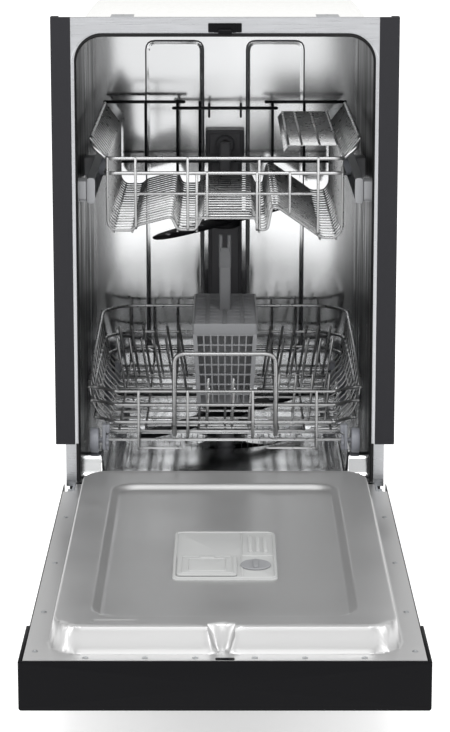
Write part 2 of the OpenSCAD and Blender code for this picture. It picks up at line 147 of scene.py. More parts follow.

# %% [markdown]
# Each finish starts from the real one. Deep-drawn stainless sheet is bright but never quite flat, so its
# noise is large and shallow and bends the reflections; the side walls, seen edge-on, are the same sheet in
# shadow, and their colours are darkened as painted shade. Brushed sheet has its grain pulled along x.
# Moulded plastics have a fine, even texture, and rubber and fibre a rough one.

# %% Finishes
tub_steel = finish("deep_drawn_stainless", "#e2e3e4", "#c2c3c4", 1, 0.08, 0.18, 120, 2.2,
                   (1, 1, 0.35), 1.0)
# Painted shade: the side walls' colours are darkened for the shadow they lie in; the steel is the same as the
# back's.
shaded_wall_steel = finish("side_wall_stainless_painted_shade", "#3a3b3c", "#0c0c0d", 0.9, 0.26, 0.55, 16, 2.6,
                    (1, 1, 0.06), 2.0, shine=0.2)
door_steel = finish("pressed_stainless_liner", "#c6c6c6", "#b8b8b8", 0.75, 0.3, 0.4, 90, 0.5,
                    (0.35, 1, 1), 2.0)
brushed = finish("brushed_stainless", "#b4b5b8", "#a4a5a7", 1, 0.26, 0.38, 1.2, 0.05, (0.03, 1, 1))
wire_steel = finish("electropolished_wire", "#a3a3a3", "#8b8c8d", 0.85, 0.24, 0.36, 9, 0.05)
shade_wire = finish("shaded_rear_wire", "#4a4b4d", "#333436", 1, 0.25, 0.4, 6, 0.05)
zinc = finish("zinc_plated_steel", "#b9bbbd", "#9c9ea0", 1, 0.3, 0.45, 3, 0.04)
black_abs = finish("black_moulded_abs", "#111113", "#0b0b0d", 0, 0.4, 0.5, 0.9, 0.03, shine=0.06)
trim_pvc = finish("charcoal_extruded_pvc", "#29292c", "#222225", 0, 0.45, 0.55, 0.8, 0.03,
                  (1, 1, 0.1), shine=0.12)
dark_pp = finish("charcoal_polypropylene", "#616164", "#565659", 0, 0.45, 0.58, 0.9, 0.04, shine=0.3)
grey_pp = finish("grey_polypropylene", "#949597", "#858689", 0, 0.4, 0.5, 0.9, 0.04, shine=0.35)
light_pp = finish("pale_grey_polypropylene", "#b9bab9", "#a9aaaa", 0, 0.34, 0.46, 0.9, 0.03)
wheel_pp = finish("blue_grey_acetal", "#8f9197", "#7d7f86", 0, 0.34, 0.46, 1.0, 0.03, shine=0.35)
enamel = finish("black_enamelled_steel", "#151517", "#0f0f11", 0, 0.25, 0.33, 12, 0.05, shine=0.25)
rubber = finish("black_epdm_rubber", "#1c1c1d", "#131314", 0, 0.6, 0.75, 0.8, 0.06, shine=0.2)
felt = finish("white_fibre_blanket", "#f2f2f0", "#e2e2e0", 0, 0.9, 1.0, 5, 0.8, shine=0.1)
print(len(bpy.data.materials), "materials")

# %% [markdown]
# Every new piece is a grid of points: rows follow one parameter, columns the other. A grid may close on
# itself either way. Several grids can be joined into one piece, as welded wires are.

# %% Grids to pieces
def piece(name, grids, material, body, stands_for=(), sharp=38, closed=True, fill=False):
    """Joins grids (points, rows close, columns close) into one mesh. Neighbours (i, j), (i, j+1),
    (i+1, j+1), (i+1, j) make a face. Doubles are merged, which closes poles and seams; fill caps open
    ends."""
    points, faces, start = [], [], 0
    for grid, rows_close, columns_close in grids:
        rows, columns = grid.shape[:2]
        i, j = np.meshgrid(np.arange(rows - (not rows_close)), np.arange(columns - (not columns_close)),
                           indexing="ij")
        i2, j2 = (i + 1) % rows, (j + 1) % columns
        corners = [i * columns + j, i * columns + j2, i2 * columns + j2, i2 * columns + j]
        faces.append(np.stack(corners, -1).reshape(-1, 4) + start)
        points.append(grid.reshape(-1, 3))
        start += rows * columns
    points = np.concatenate(points) / 1000 + [0, front, 0]
    faces = np.concatenate(faces)
    mesh = bpy.data.meshes.new(name)
    mesh.from_pydata(points.tolist(), [], faces.tolist())
    work = bmesh.new()
    work.from_mesh(mesh)
    bmesh.ops.remove_doubles(work, verts=work.verts, dist=2e-6)
    bmesh.ops.dissolve_degenerate(work, edges=work.edges, dist=1e-6)
    if fill:
        bmesh.ops.holes_fill(work, edges=work.edges)
    if closed:
        bmesh.ops.recalc_face_normals(work, faces=work.faces)
    work.to_mesh(mesh)
    work.free()
    mesh.polygons.foreach_set("use_smooth", [True] * len(mesh.polygons))
    mesh.set_sharp_from_angle(angle=math.radians(sharp))
    mesh.materials.append(material)
    made = bpy.data.objects.new(name, mesh)
    bpy.context.scene.collection.objects.link(made)
    if stands_for:
        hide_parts(*stands_for)
    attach(made, body)
    print(name, len(mesh.polygons), "faces")
    return made

# %% [markdown]
# Rack wire is drawn rod, bent round a former and welded. So a wire is a circle carried along a path
# whose corners are rounded, with a domed tip at each end.

# %% Wire
def bent(points, radius, steps=5):
    """Swaps each inner corner c for the curve (1-t)^2 a + 2t(1-t) c + t^2 b, a and b being radius mm away."""
    p = np.asarray(points, float)
    if len(p) < 3:
        return p
    to_a, to_b = p[:-2] - p[1:-1], p[2:] - p[1:-1]
    la = np.linalg.norm(to_a, axis=1, keepdims=True)
    lb = np.linalg.norm(to_b, axis=1, keepdims=True)
    cut = np.minimum(radius, 0.46 * np.minimum(la, lb))
    a, b = p[1:-1] + to_a / la * cut, p[1:-1] + to_b / lb * cut
    t = np.linspace(0, 1, steps)[None, :, None]
    curve = (1 - t) ** 2 * a[:, None] + 2 * t * (1 - t) * p[1:-1][:, None] + t ** 2 * b[:, None]
    return np.vstack([p[:1], curve.reshape(-1, 3), p[-1:]])

def wire(points, thick=4.0, bend=9.0, sides=8, turn=0.0):
    """centre(s) + r (cos v N + sin v B): N is the path's flat normal made square to the tangent T,
    B = T x N. Two extra rings at each end shrink the radius to nothing over r, which domes the tip."""
    c = bent(points, bend)
    tangent = np.gradient(c, axis=0)
    tangent /= np.linalg.norm(tangent, axis=1, keepdims=True)
    flat = np.linalg.svd(c - c.mean(0))[2][2]
    r = thick / 2
    c = np.vstack([c[0] - tangent[0] * r, c[0] - tangent[0] * 0.7 * r, c,
                   c[-1] + tangent[-1] * 0.7 * r, c[-1] + tangent[-1] * r])
    tangent = np.vstack([tangent[:1], tangent[:1], tangent, tangent[-1:], tangent[-1:]])
    normal = flat - (tangent @ flat)[:, None] * tangent
    normal /= np.linalg.norm(normal, axis=1, keepdims=True)
    side = np.cross(tangent, normal)
    radius = np.full(len(c), r)
    radius[[0, 1, -2, -1]] = [0, 0.7 * r, 0.7 * r, 0]
    v = np.arange(sides) * 2 * np.pi / sides + turn
    ring = np.cos(v)[None, :, None] * normal[:, None] + np.sin(v)[None, :, None] * side[:, None]
    return c[:, None] + radius[:, None, None] * ring, False, True

def beam(a, b, thick):
    """A moulded bar of square section from a to b: a wire with four sides, turned to stand on its flat."""
    return wire([a, b], thick * 1.3, sides=4, turn=np.pi / 4)

def mirrored(points):
    """The same path on the other side of the machine."""
    return np.asarray(points, float) * [-1, 1, 1]

# %% [markdown]
# The lower rack is welded from three ring wires, a grid floor, and side wires that lean outward.
# Its front is stepped: the ring wires run straight across, then step back and out to the corners.

# %% Lower rack frame
bottom, reach, back = 242, 42, 462  # floor height, front and rear of the rack
side_y = np.linspace(84, 430, 13)
rack = []
for height, rear, x_side in ((305, 333, 187), (286, 292, 184), (262, 268, 179)):
    half = [(150, reach + 1, height), (171, reach + 23, height), (x_side, reach + 24, height + 1)]
    rack.append(wire(list(mirrored(half[::-1])) + half, 4.6, 7))
    loop = [(x_side, reach + 22, height + 1), (x_side, 220, (height + rear) / 2 + 4),
            (x_side, back - 34, rear), (x_side - 34, back, rear)]
    rack.append(wire(loop + list(mirrored(loop[::-1])), 4.6, 26))
for y in side_y:
    top = 309 + 24 * (y - 84) / 346
    path = [(188.5, y, top), (185, y, top - 26), (176, y, 264), (164, y, 252), (158, y, bottom),
            (120, y, bottom)]
    rack += [wire(path, 3.2, 8), wire(mirrored(path), 3.2, 8)]
for y in np.linspace(62, 444, 11):
    rack.append(wire([(-160, y, bottom), (160, y, bottom)], 3.6))
for x in np.linspace(-146, 146, 9):
    path = [(x, back, 331), (x, back - 1, 262), (x, back - 12, bottom + 3), (x, 56, bottom + 3)]
    rack.append(wire(path, 3.2, 12))
for x in (-118, -51, 38, 125):
    foot = 221 if abs(x) > 100 else 238
    rack.append(wire([(x, reach - 3, 306), (x, reach - 2, foot), (x, reach + 26, bottom + 3)], 4.0, 8))
rack.append(wire([(-118, reach - 1, 226), (-58, reach - 1, 226)], 3.2))
rack.append(wire([(58, reach - 1, 226), (125, reach - 1, 226)], 3.2))
rack.append(wire([(-162, reach + 2, 237), (162, reach + 2, 237)], 4.6))
rack.append(wire([(-162, reach + 14, 246), (162, reach + 14, 246)], 3.6))
piece("lower_rack_wires", rack, wire_steel, "lower_rack", ["lower_rack_frame"])

# %% [markdown]
# Plates stand between tines: short pegs welded to a cross wire, leaning a little outward.

# %% Tines and handle
def tines(y, xs, height=76, lean=12):
    """Pegs from the floor at x to x + lean at the top, with their cross wire under them."""
    side = np.sign(np.mean(xs))
    pegs = [wire([(x, y, bottom + 4), (x + side * lean, y, bottom + 4 + height)], 3.6) for x in xs]
    return pegs + [wire([(min(xs) - 8, y, bottom + 5), (max(xs) + 8, y, bottom + 5)], 3.6)]

left_xs, right_xs = np.linspace(-147, -57, 6), np.linspace(57, 147, 6)
pegs = tines(366, left_xs) + tines(285, left_xs) + tines(366, right_xs)
pegs += tines(107, np.linspace(70, 140, 4), 66, 6) + tines(107, (-26, 9), 60, -3)
pegs += tines(70, (-26, 9, 32), 56, 4)
piece("lower_rack_pegs", pegs, wire_steel, "lower_rack", ["lower_rack_tines"])
piece("folding_pegs", tines(285, right_xs), wire_steel, "folding_tines", ["folding_tines"])
grip = [(-69, 36.8, 246), (-69, 36.8, 359), (69, 36.8, 359), (69, 36.8, 246)]
piece("rack_grip", [wire(grip, 6.2, 14, 12)], wire_steel, "lower_rack", ["lower_rack_handle"])

# %% [markdown]
# The upper rack hangs higher and its floor is folded into bays, so that stemmed glasses can lean. Each
# cross wire is the same folded profile; the flared tops form the comb along each side.

# %% Upper rack frame
fold = [(-181, 652), (-164, 630), (-158, 622), (-158, 538), (-150, 529), (-125, 529), (-118, 536), (-72, 548),
        (-64, 530), (-38, 530), (-30, 547), (38, 547), (46, 529), (57, 530), (63, 560), (72, 560), (122, 525),
        (130, 519), (150, 519), (158, 530), (158, 622), (164, 630), (181, 652)]
upper = []
for y in np.linspace(54, 432, 20):
    upper.append(wire([(x, y, z) for x, z in fold], 2.6, 6, 6))
for y, cut in ((43, slice(3, 10)), (43, slice(12, 21))):
    inner = [(x, y, z) for x, z in fold[cut]]
    upper.append(wire([(inner[0][0], y, 627)] + inner + [(inner[-1][0], y, 607)], 4.0, 6))
for height in (627, 607):
    half = [(152, 42, height), (161, 50, height - 1), (161, 96, height - 2)]
    upper.append(wire(list(mirrored(half[::-1])) + half, 5.0, 10))
upper.append(wire([(-132, 42, 579), (130, 42, 579)], 4.2))
upper.append(wire([(-50, 41, 546), (44, 41, 546)], 3.4))
for x, low, high in ((-120, 532, 627), (-50, 530, 627), (-24, 547, 607), (43, 530, 607), (87, 551, 607),
                     (125, 524, 627)):
    upper.append(wire([(x, 40, high), (x, 40, low), (x, 52, low - 1)], 3.8, 5))
for x, z in ((-150, 527), (-125, 527), (-64, 528), (-38, 528), (46, 527), (68, 558), (128, 517), (150, 517)):
    upper.append(wire([(x, 42, z), (x, 436, z)], 3.4))
for side in (-1, 1):
    rim = [(160, 50, 626), (178, 56, 640), (181, 70, 652), (181, 436, 652)]
    upper.append(wire(np.array(rim) * [side, 1, 1], 4.4, 12))
    upper.append(wire([(side * 160, 60, 607), (side * 160, 434, 607)], 4.0))
piece("upper_rack_wires", upper, wire_steel, "upper_rack", ["upper_rack_frame"])

# %% [markdown]
# The rack's rear wall is wire with five posts, coloured darker than the other wire as painted shade for the
# shadow it stands in. A shelf of fine wire hangs from a long hinge wire on the right, for cups.

# %% Upper rack rear and cup shelf
rear = [wire([(-182, 442, 653), (-62, 442, 653)], 5), wire([(-78, 438, 644), (78, 438, 644)], 5),
        wire([(62, 442, 653), (182, 442, 653)], 5), wire([(-158, 439, 562), (158, 439, 562)], 4)]
rear += [wire([(x, 440, 653), (x, 440, 544)], 4.4) for x in (-120, -72, -38, 72, 120)]
rear += [wire([(x, 444, 630), (x, 444, 650)], 3.4) for x in (-24, 24)]
piece("rear_wall_wires", rear, shade_wire, "upper_rack", ["upper_rack_rear"])
shelf = [wire([(x, 66, z), (x, 420, z)], 3.4) for x, z in ((152, 641), (128, 641), (104, 641), (86, 641))]
for y in np.linspace(70, 418, 30):
    shelf.append(wire([(155, y, 637), (152, y, 641), (86, y, 641), (80, y, 633)], 2.2, 4, 6))
piece("cup_shelf_wires", shelf, wire_steel, "cup_shelf", ["cup_shelf"])

# %% [markdown]
# The tub is one pressing: flat walls joined by a wide curve under the ceiling. The wall is a section
# carried straight back.

# %% Tub walls
def arch(half, low, top, radius, n=10):
    """Up the left side, round to the ceiling and down the right side, as (x, z) points."""
    a = np.linspace(np.pi, np.pi / 2, n)
    left = np.stack([-half + radius + radius * np.cos(a), top - radius + radius * np.sin(a)], -1)
    return np.vstack([[-half, low], left, left[::-1] * [-1, 1], [half, low]])

def sweep(section, stops):
    """section (x, z) copied to each y in stops."""
    grid = np.zeros((len(stops), len(section), 3))
    grid[..., [0, 2]], grid[..., 1] = section, np.asarray(stops, float)[:, None]
    return grid

tub_half, tub_top, corner_radius, sheet_thick = 201, 799, 40, 1.2
inner = sweep(arch(tub_half, 181, tub_top, corner_radius), [2, 489.5])
outer = sweep(arch(tub_half + sheet_thick, 181, tub_top + sheet_thick, corner_radius + sheet_thick),
              [2, 489.5])
wrapper = np.stack([inner[0], inner[1], outer[1], outer[0]])
piece("tub_walls", [(wrapper, True, False)], shaded_wall_steel, "cabinet", ["tub_wrapper"], closed=False)
print("tub walls", wrapper.shape)

# %% [markdown]
# Embossed sheet is a flat grid pushed out of its plane. The push depends only on how far a point is from
# the outline of a rounded rectangle, so one distance function shapes the tub's back, the floor and the door.

# %% Distance and step functions
def away(x, y, cx, cy, half_x, half_y, radius):
    """Distance from a rounded rectangle's outline, negative inside:
    length(max(|p - c| - half + r, 0)) + min(max of both, 0) - r."""
    dx, dy = np.abs(x - cx) - half_x + radius, np.abs(y - cy) - half_y + radius
    return np.hypot(np.maximum(dx, 0), np.maximum(dy, 0)) + np.minimum(np.maximum(dx, dy), 0) - radius

def ease(t):
    """0 below 0, 1 above 1, and 3t^2 - 2t^3 between."""
    t = np.clip(t, 0, 1)
    return t * t * (3 - 2 * t)

def stops(low, high, coarse, *fine):
    """Grid lines every coarse mm, and every 1.5 mm within 14 mm of each fine place."""
    lines = [np.arange(low, high, coarse), [high]] + [np.arange(f - 14, f + 14, 1.5) for f in fine]
    lines = np.unique(np.round(np.concatenate(lines), 2))
    return lines[(lines >= low) & (lines <= high)]

# %% [markdown]
# The back of the tub has two tall embossed panels, each with a dark line of painted shade round it where its
# raised edge falls into shade, and corners cut back to the curve of the walls.

# %% Tub back
x, z = np.meshgrid(stops(-202, 202, 6, -122, -32, 32, 122), stops(181, 799.5, 8, 256, 742), indexing="ij")
panels = np.minimum(away(x, z, -77, 499, 45, 243, 16), away(x, z, 77, 499, 45, 243, 16))
push = -1.6 * ease(-panels / 8)
arc_x, arc_z, arc_r = 161, 759, 40.9  # centre and radius of the corner curve
corner = np.hypot(np.maximum(np.abs(x) - arc_x, 0), np.maximum(z - arc_z, 0))
shrink = arc_r / np.maximum(corner, 1)
z = np.where(corner > arc_r, arc_z + (z - arc_z) * shrink, z)
x = np.where(corner > arc_r, np.sign(x) * (arc_x + (np.abs(x) - arc_x) * shrink), x)
sheet = np.stack([x, 490 - push, z], -1)
flat_sheet = np.stack([x, np.full_like(x, 491.5), z], -1)
piece("tub_back_sheet", [(sheet, False, False), (flat_sheet[::-1], False, False)], tub_steel, "cabinet",
      ["tub_back"], closed=False)
# Painted shade: dark lines laid on the sheet where the embossed edges fall into shade; the pressing has no
# separate bead there.
shade_line_path = [(77, 257), (121, 257), (121, 741), (33, 741), (33, 257), (79, 257)]
panel_shade_lines = [wire([(side * a, 488.7, b) for a, b in shade_line_path], 2.4, 14, 6) for side in (-1, 1)]
piece("panel_edge_painted_shade", panel_shade_lines, dark_pp, "cabinet")

# %% [markdown]
# The tub floor is pressed too: a raised track along each side for the rack's wheels, a fall towards the
# filter, and long ridges that stiffen it.

# %% Tub floor
x, y = np.meshgrid(stops(-200.8, 200.8, 5, -167, 167), stops(3, 489, 6, 30, 470), indexing="ij")
rise = ease((np.abs(x) - 163) / 7) * ease((y - 28) / 20)
ridge = np.exp(-((np.abs(x) - 142) / 5) ** 2) * ease((y - 60) / 20) * ease((440 - y) / 20)
bowl = ease((150 - np.hypot(x, y - 290)) / 90)
z = 187.6 + 29.4 * rise + 3.0 * ridge - 1.4 * bowl + 10 * ease((y - 452) / 30) * (1 - rise)
floor_sheet = np.stack([x, y, z], -1)
under = np.stack([x, y, np.where(rise > 0.5, z - 2, 184.2)], -1)
piece("tub_floor_sheet", [(floor_sheet, False, False), (under[::-1], False, False)], tub_steel, "cabinet",
      ["tub_floor"], closed=False)

# %% [markdown]
# Around the mouth: a bright lip and a soft black seal in its channel. Each is one section carried along
# the curve of the walls.

# %% Seal and frame
def along_arch(section, half, low, top, radius, above=1.0, n=14):
    """Each section point (inward step u, depth y) makes its own arch, u mm inside the sides and above * u
    inside the top."""
    return np.stack([np.insert(arch(half - u, low, top - above * u, max(radius - u, 2), n), 1, y, axis=1)
                     for u, y in section])

seal = [(0.2, 13), (0.2, 1.6), (0.8, -0.2), (2.0, -0.8), (3.4, -0.4), (4.6, 1.4), (5.2, 6), (4.4, 8),
        (5.2, 10), (5.1, 13)]
piece("door_seal", [(along_arch(seal, 200.7, 190, 798.7, 39.7), True, False)], rubber, "cabinet",
      ["door_gasket"], fill=True)
lip = [(-1.2, 0.4), (-1.2, -0.9), (0.2, -1.4), (3.1, -1.2), (3.3, -0.8), (3.1, 0.0)]
piece("mouth_lip", [(along_arch(lip, 201.0, 244, 799.4, 40, 0.15), True, False)], brushed, "cabinet",
      fill=True)

# %% [markdown]
# A trim is one hooked section pulled straight up: a face strip, a side and a short return at the back.

# %% Side trims
trim = np.array([(203.2, -2), (202.5, -1.3), (202.5, -0.2), (227.1, -0.2), (227.1, 14.5), (218.5, 14.5),
                 (218.5, 16), (227.9, 16), (228.5, 15.2), (228.5, -1.2), (227.7, -2)])
trim_grid = np.stack([np.insert(trim, 2, h, axis=1) for h in (243, 820)])
bars = [(trim_grid * [side, 1, 1], False, True) for side in (1, -1)]
piece("side_trim_strips", bars, trim_pvc, "cabinet", ["side_trims"], fill=True)

# %% [markdown]
# The door's inner sheet is the most worked pressing. A flange runs round it; inside, the sheet rises to a
# plateau that seals into the tub, dips again to a shallow tray, and has a shield-shaped notch for the latch.

# %% Door liner
x, y = np.meshgrid(stops(-217, 217, 6, -192, 192, -150, 150),
                   stops(-649, -4, 6, -628, -36, -590, -98, -640), indexing="ij")
edge = away(x, y, 0, -331, 194, 300, 40)
notch = away(x, y, -3, -630, 8.5, 9, 6)
edge = np.maximum(edge, -notch)
tray = away(x, y, 0, -344, 148, 248, 30)
z = 188 + 29 * ease(-edge / 7.5) - 7 * ease(-tray / 11)
z += 0.8 * np.exp(-(edge + 12) ** 2 / 6) * (edge < 0) * ease((170 - np.abs(x)) / 8)
mark = away(x, y, -119, -606, 24, 2.2, 2)
z += -0.9 * np.exp(-(mark / 1.4) ** 2)
x_cut = np.where((y > -38) & (np.abs(x) > 202), np.sign(x) * 202, x)
liner_top = np.stack([x_cut, y, z], -1)
liner_low = liner_top - [0, 0, 1.0]

def edge_loop(grid):
    """The grid's outer points, once round."""
    return np.concatenate([grid[:, 0], grid[-1, 1:], grid[-2::-1, -1], grid[0, -2:0:-1]])

rim = np.stack([edge_loop(liner_low), edge_loop(liner_top)])
piece("door_liner_sheet", [(liner_top, False, False), (liner_low[::-1], False, False), (rim, False, True)],
      door_steel, "door", ["door_liner"], sharp=50)
apron = [(-5.0, 187.3), (-4.4, 186), (-4.4, 160), (-5.0, 160), (-5.0, 186)]
apron_grid = np.array([[(end, y, z) for y, z in apron] for end in (-200, 200)], float)
piece("liner_apron", [(apron_grid, False, True)], door_steel, "door", closed=False)

# %% [markdown]
# Small parts turned on a lathe, and moulded blocks with softened edges, come from two helpers.

# %% Turned parts and soft blocks
def turned(profile, centre, axis="z", sides=32):
    """profile (radius, height) spun about the axis: (r cos v, r sin v, h), then stood along x, y or z."""
    p = np.array(profile, float)
    v = np.arange(sides) * 2 * np.pi / sides
    g = np.stack([p[:, :1] * np.cos(v), p[:, :1] * np.sin(v), np.repeat(p[:, 1:], sides, 1)], -1)
    order = {"z": (0, 1, 2), "x": (2, 0, 1), "y": (1, 2, 0)}[axis]
    return g[..., order] + np.array(centre, float), False, True

def outline(x0, y0, x1, y1, r, n=5):
    """A rounded rectangle as points, anticlockwise from the right side."""
    a = np.linspace(0, np.pi / 2, n)
    quarter = np.stack([np.cos(a), np.sin(a)], -1) * r
    turns = [quarter, quarter[:, ::-1] * [-1, 1], -quarter, quarter[:, ::-1] * [1, -1]]
    corners = [(x1 - r, y1 - r), (x0 + r, y1 - r), (x0 + r, y0 + r), (x1 - r, y0 + r)]
    return np.concatenate([t + c for t, c in zip(turns, corners)])

def block(low, high, corner=3.0, soft=1.0, axis="z"):
    """Rings of one rounded rectangle from end to end: inset by soft at both ends, closed at the middle."""
    order = {"z": (0, 1, 2), "x": (1, 2, 0), "y": (2, 0, 1)}[axis]
    lo, hi = np.array(low, float)[list(order)], np.array(high, float)[list(order)]

    def ring(inset, h):
        """The outline pulled in by inset, at height h."""
        edge = outline(lo[0] + inset, lo[1] + inset, hi[0] - inset, hi[1] - inset, max(corner - inset, 0.2))
        return np.insert(edge, 2, h, axis=1)

    steps = ((soft, 0), (soft * 0.3, soft * 0.3), (0, soft))
    rings = [ring(inset, lo[2] + h) for inset, h in steps]
    rings += [ring(inset, hi[2] - h) for inset, h in steps[::-1]]
    ends = [np.repeat(r.mean(0)[None], len(r), 0) for r in (rings[0], rings[-1])]
    return np.stack([ends[0], *rings, ends[1]])[..., np.argsort(order)], False, True

# %% [markdown]
# The lower rack runs on four dished wheels with six studs each, the upper one on four plain rollers. The
# two on one axle line turn together, so each pair is one piece.

# %% Wheels
def wheel_profile(r, width):
    """Hub, dished web and rounded tyre, from the inner face to the outer one."""
    return [(3.9, 0), (8, 0), (8.4, 1.4), (r - 4, 1.8), (r - 2.6, 0), (r - 0.8, 0.5), (r, 2), (r, width - 2),
            (r - 0.8, width - 0.5), (r - 2.8, width), (r - 4.2, width - 2.2), (9.4, width - 2.2),
            (8.6, width - 0.4), (7, width), (0, width)]

def both_sides(parts, x, y, z):
    """Parts drawn about the origin, moved out to x and mirrored, at the axle (y, z)."""
    return [((grid + [x, 0, 0]) * [side, 1, 1] + [0, y, z], rows_close, columns_close)
            for side in (1, -1) for grid, rows_close, columns_close in parts]

axle_z, roller_z, ring_radius = 234.5, 585, 11.4
stud = [(0, 9.6), (1.5, 9.6), (1.5, 10.9), (0, 10.9)]
wheel = [turned(wheel_profile(17.3, 12), (0, 0, 0), "x", 40)]
wheel += [turned(stud, (0, ring_radius * math.cos(k), ring_radius * math.sin(k)), "x", 10)
          for k in np.arange(6) * np.pi / 3]
for name, y in (("front_wheels", 50), ("rear_wheels", 405)):
    piece(name + "_tyres", both_sides(wheel, 173, y, axle_z), wheel_pp, name, [name])
roller = turned([(0, 0), (11, 0), (12.5, 1.2), (12.5, 14), (11.6, 16), (8, 16), (7.4, 13.6), (0, 13.6)],
                (0, 0, 0), "x")
for name, y in (("front_rollers", 240), ("rear_rollers", 400)):
    piece(name + "_turned", both_sides([roller], 164, y, roller_z), wheel_pp, name, [name])

# %% [markdown]
# Each wheel turns on a moulded carrier that clips round the rack's wires; a toothed ring on it locks the
# carrier to the wire.

# %% Wheel carriers
def tooth(y, angle):
    """A small block on the ring of radius 9.5 about (y, 232), at the given angle."""
    cy, cz = y + 9.5 * math.cos(angle), 232 + 9.5 * math.sin(angle)
    return block((159.5, cy - 1.6, cz - 1.6), (163, cy + 1.6, cz + 1.6), 0.8, 0.4, "x")

axle = [(0, 0), (3.5, 0), (3.5, 14.6), (0, 15)]
washer = [(5.5, 0), (9.2, 0), (9.2, 3.4), (5.5, 3.4), (5.5, 0)]
carriers = []
for side in (1, -1):
    for y in (50, 405):
        parts = [block((163.5, y - 9, 222), (168, y + 9, 258), 3, 0.8, "x"),
                 turned(axle, (167, y, axle_z), "x", 16), block((158, y - 6, 246), (166, y + 6, 257), 2, 0.8)]
        parts += [tooth(y, k) for k in np.arange(10) * np.pi / 5]
        parts.append(turned(washer, (159.6, y, 232), "x", 24))
        carriers += [(g * [side, 1, 1], a, b) for g, a, b in parts]
piece("wheel_carriers", carriers, wheel_pp, "lower_rack", ["wheel_brackets"])

# %% [markdown]
# The cutlery basket is one moulding: four lattice walls that draw in towards the floor, and a deep plain
# band round the top.

# %% Cutlery basket
y0, y1, low, top, wide, draw = 187, 393, 247, 367, 46.5, 6.5

def wall_x(z):
    """Half width of the basket at height z: it draws in towards the floor."""
    return wide - draw * (top - z) / (top - low)

bars = []
for z in np.linspace(low + 2, top - 17, 8):
    w = wall_x(z) - 1.6
    for y in (y0 + 1.6, y1 - 1.6):
        bars.append(beam((-w, y, z), (w, y, z), 2.2))
    for side in (-1, 1):
        bars.append(beam((side * w, y0 + 2, z), (side * w, y1 - 2, z), 2.2))
for k in np.linspace(-0.92, 0.92, 9):
    for y in (y0 + 1.6, y1 - 1.6):
        bars.append(beam((k * (wall_x(low) - 2), y, low + 1), (k * (wide - 2), y, top - 14), 2.0))
for y in np.linspace(y0 + 4, y1 - 4, 19):
    for side in (-1, 1):
        bars.append(beam((side * (wall_x(low) - 1.6), y, low + 1), (side * (wide - 1.6), y, top - 14), 2.0))
    bars.append(beam((-wall_x(low), y, low + 1.4), (wall_x(low), y, low + 1.4), 2.6))
for x in np.linspace(-36, 36, 7):
    bars.append(beam((x, y0 + 2, low + 1.4), (x, y1 - 2, low + 1.4), 2.6))
for side in (-1, 1):
    for y in (y0 + 2.4, y1 - 2.4):
        bars.append(beam((side * (wide - 2.4), y, top - 8), (side * (wall_x(low) - 2.4), y, low), 5))
band = [block((-wide, y, top - 16), (wide, y + 3, top), 1.2, 0.6) for y in (y0, y1 - 3)]
band += [block((x, y0, top - 16), (x + 3, y1, top), 1.2, 0.6) for x in (-wide, wide - 3)]
band += [block((-3, y0 + 1, top - 10), (3, y1 - 1, top - 0.5), 1.0, 0.6),
         block((-40, 288.5, low), (40, 291.5, top - 14), 1, 0.5)]
piece("basket_lattice", bars + band, grey_pp, "cutlery_basket", ["cutlery_basket"])

# %% [markdown]
# The comb lid has wavy slots either side of a spine. A tall handle stands on it, forked at its tip.

# %% Basket comb and handle
comb = []
for n, y in enumerate(np.arange(y0 + 11, y1 - 6, 10.4)):
    swell = 3.2 if n % 2 else 0.0
    for side in (-1, 1):
        path = [(side * 3, y, top - 2.4), (side * 14, y, top - 2.4), (side * 20, y - swell, top - 2.4),
                (side * 30, y - swell, top - 2.4), (side * 36, y, top - 2.4), (side * 44.5, y, top - 2.4)]
        comb.append(wire(path, 3.4, 5, 6))
        comb.append(beam((side * 25, y - 1.6, top - 2.6), (side * 25, y + 1.6, top - 2.6), 6.0))
piece("basket_comb", comb, grey_pp, "cutlery_basket")
handle = [block((-8.5, 286.4, top - 2), (8.5, 293.6, 430), 2.2, 0.8),
          block((-9, 286.2, 428), (9, 293.8, 458), 2.4, 0.8),
          block((-9, 286.2, 452), (-3.4, 293.8, 477), 2.2, 0.8),
          block((3.4, 286.2, 452), (9, 293.8, 477), 2.2, 0.8)]
handle += [beam((-5.4, 285.8, 386), (-5.4, 285.8, 424), 1.2), beam((5.4, 285.8, 386), (5.4, 285.8, 424), 1.2)]
piece("basket_post", handle, grey_pp, "cutlery_basket", ["basket_lid"])

# %% [markdown]
# A spray arm turns under each rack. An arm is a blade: wide at the hub, drawn in towards round ends, with
# a ridge along its top and small jets on it.

# %% Spray arms
arm_y = 225

